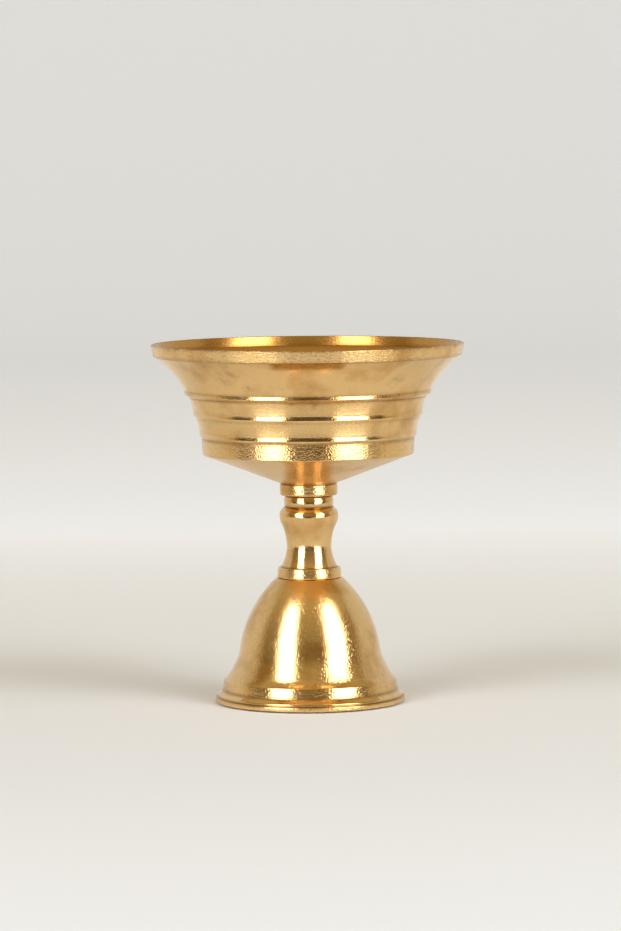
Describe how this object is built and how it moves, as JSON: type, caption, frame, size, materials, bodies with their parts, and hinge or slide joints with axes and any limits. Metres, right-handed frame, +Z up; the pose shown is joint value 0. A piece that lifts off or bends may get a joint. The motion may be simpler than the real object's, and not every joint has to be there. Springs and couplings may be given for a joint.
{
  "type": "butter lamp",
  "caption": "Small turned brass butter lamp: a flared, stepped cup with a cotton wick on a baluster stem and a hollow bell foot; the cup unscrews from the stem.",
  "frame": {"origin": "centre of the foot's bottom face, on the table", "axes": "+Z up along the turning axis; the lamp is round, so +X and +Y are any two directions across it"},
  "size_m": [0.0612, 0.0612, 0.0703],
  "materials": {
    "foot_brass": "turned and polished, slightly grainy",
    "stem_brass": "polished",
    "cup_brass": "turned, with fine lathe lines",
    "fastener_steel": "zinc plated",
    "bamboo": "split, dry",
    "cotton": "loosely wound"
  },
  "bodies": {
    "base": {"foot": "foot_brass", "stem": "stem_brass", "foot_screw": "fastener_steel", "foot_washer": "fastener_steel"},
    "stud": {"cup_stud": "fastener_steel"},
    "cup": {"cup": "cup_brass"},
    "wick": {"wick_stick": "bamboo", "wick_cotton": "cotton"}
  },
  "joints": [
    {"name": "cup_rise", "type": "slide", "parent": "base", "child": "stud", "axis": [0, 0, 1], "range_m": [0, 0.0044]},
    {"name": "cup_turn", "type": "hinge", "parent": "stud", "child": "cup", "pos_m": [0, 0, 0.0429], "axis": [0, 0, 1], "range_deg": [0, 1980]},
    {"name": "wick_lift", "type": "slide", "parent": "cup", "child": "wick", "axis": [0, 0, 1], "range_m": [0, 0.002]}
  ],
  "couplings": [
    {"joint": "cup_turn", "follows": "cup_rise", "rad_per_m": 7854}
  ]
}
